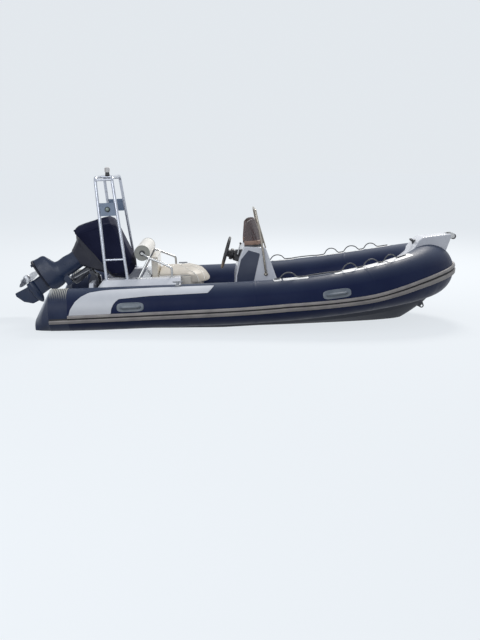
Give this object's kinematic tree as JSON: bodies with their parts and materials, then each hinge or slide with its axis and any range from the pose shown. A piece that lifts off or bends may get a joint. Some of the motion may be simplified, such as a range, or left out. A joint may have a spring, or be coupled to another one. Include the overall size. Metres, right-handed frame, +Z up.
{
  "type": "rigid inflatable boat with outboard engine",
  "caption": "Deep-V rigid inflatable boat afloat: dark tube collar, steering console, bench, backrest roll, stainless arch and a covered outboard tilted up at the stern.",
  "frame": {"origin": "on the waterline in the centre plane, 2.1 m forward of the tips of the stern cones", "axes": "+X forward, +Y to port, +Z up, water level at z = 0"},
  "size_m": [5.5958, 2.3638, 2.1735],
  "materials": {
    "hull_gelcoat": "satin",
    "tube_fabric": "satin coated fabric",
    "cone_rubber": "satin",
    "wear_rib": "matte",
    "panel_fabric": "satin coated fabric",
    "strake_rubber": "matte",
    "handle_rubber": "matte",
    "patch_fabric": "satin",
    "grab_rope": "braided",
    "deck_grip": "ribbed matte",
    "white_gelcoat": "gloss",
    "cream_gelcoat": "gloss",
    "seat_vinyl": "grained",
    "roll_vinyl": "grained",
    "stainless": "polished",
    "arch_plate": "satin painted",
    "green_lamp": "gloss",
    "red_lamp": "gloss",
    "black_plastic": "matte",
    "clear_lens": "clear ribbed",
    "navy_panel": "satin",
    "screen_base": "matte",
    "tinted_screen": "tinted acrylic",
    "wheel_rubber": "matte",
    "black_rubber": "matte",
    "cast_fitting": "satin",
    "engine_paint": "satin metallic",
    "apron_paint": "satin",
    "engine_block": "plain",
    "cover_fabric": "woven canvas",
    "bracket_silver": "brushed",
    "propeller_steel": "brushed"
  },
  "bodies": {
    "hull": {"hull": "hull_gelcoat", "tube_collar": "tube_fabric", "stern_cone_starboard": "cone_rubber", "stern_cone_port": "cone_rubber", "cone_wear_ribs_starboard": "wear_rib", "cone_wear_ribs_port": "wear_rib", "side_panel_starboard": "panel_fabric", "side_panel_port": "panel_fabric", "rub_strake": "strake_rubber", "carry_handles_starboard": "handle_rubber", "carry_handles_port": "handle_rubber", "grab_patches": "patch_fabric", "grab_line_starboard": "grab_rope", "grab_line_port": "grab_rope", "cockpit_deck": "deck_grip", "transom_board": "white_gelcoat", "stern_moulding": "white_gelcoat", "bench_base": "cream_gelcoat", "bench_cushion": "seat_vinyl", "backrest_frame": "stainless", "backrest_roll": "roll_vinyl", "arch_frame": "stainless", "arch_plate_starboard": "arch_plate", "arch_plate_port": "arch_plate", "side_light_starboard": "green_lamp", "side_light_port": "red_lamp", "masthead_light_base": "black_plastic", "masthead_light_lens": "clear_lens", "console": "white_gelcoat", "console_panels": "navy_panel", "windscreen_base": "screen_base", "windscreen": "tinted_screen", "console_rail": "stainless", "helm": "black_plastic", "throttle_box": "black_plastic", "bow_step": "white_gelcoat", "roller_bracket": "stainless", "bow_cleat": "cast_fitting", "bow_eye": "stainless", "stern_cleats": "cast_fitting", "transom_eyes": "stainless", "clamp_bracket": "engine_paint"},
    "steering_wheel": {"steering_wheel": "wheel_rubber"},
    "bow_roller": {"bow_roller": "black_rubber"},
    "swivel_bracket": {"swivel_bracket": "bracket_silver"},
    "outboard": {"outboard_leg": "engine_paint", "lower_cowl": "apron_paint", "engine_block": "engine_block", "cowl_cover": "cover_fabric"},
    "propeller": {"propeller": "propeller_steel"}
  },
  "joints": [
    {"name": "engine_tilt", "type": "hinge", "parent": "hull", "child": "swivel_bracket", "pos_m": [-1.48467, 0, 0.51018], "axis": [0, 1, 0], "range_deg": [-58, 8]},
    {"name": "engine_steering", "type": "hinge", "parent": "swivel_bracket", "child": "outboard", "pos_m": [-1.55849, 0, 0.61718], "axis": [0.8231, 0, 0.5678], "range_deg": [-32, 32]},
    {"name": "propeller_spin", "type": "hinge", "parent": "outboard", "child": "propeller", "pos_m": [-2.34186, 0, 0.46189], "axis": [0.5678, 0, -0.8231], "continuous": true},
    {"name": "wheel_turn", "type": "hinge", "parent": "hull", "child": "steering_wheel", "pos_m": [0.16995, 0, 0.82055], "axis": [-0.9664, 0, 0.2571], "range_deg": [-640, 640]},
    {"name": "bow_roller_spin", "type": "hinge", "parent": "hull", "child": "bow_roller", "pos_m": [3.05362, 0, 1.0476], "axis": [0, 1, 0], "continuous": true}
  ],
  "couplings": [
    {"joint": "wheel_turn", "follows": "engine_steering", "ratio": 20}
  ]
}
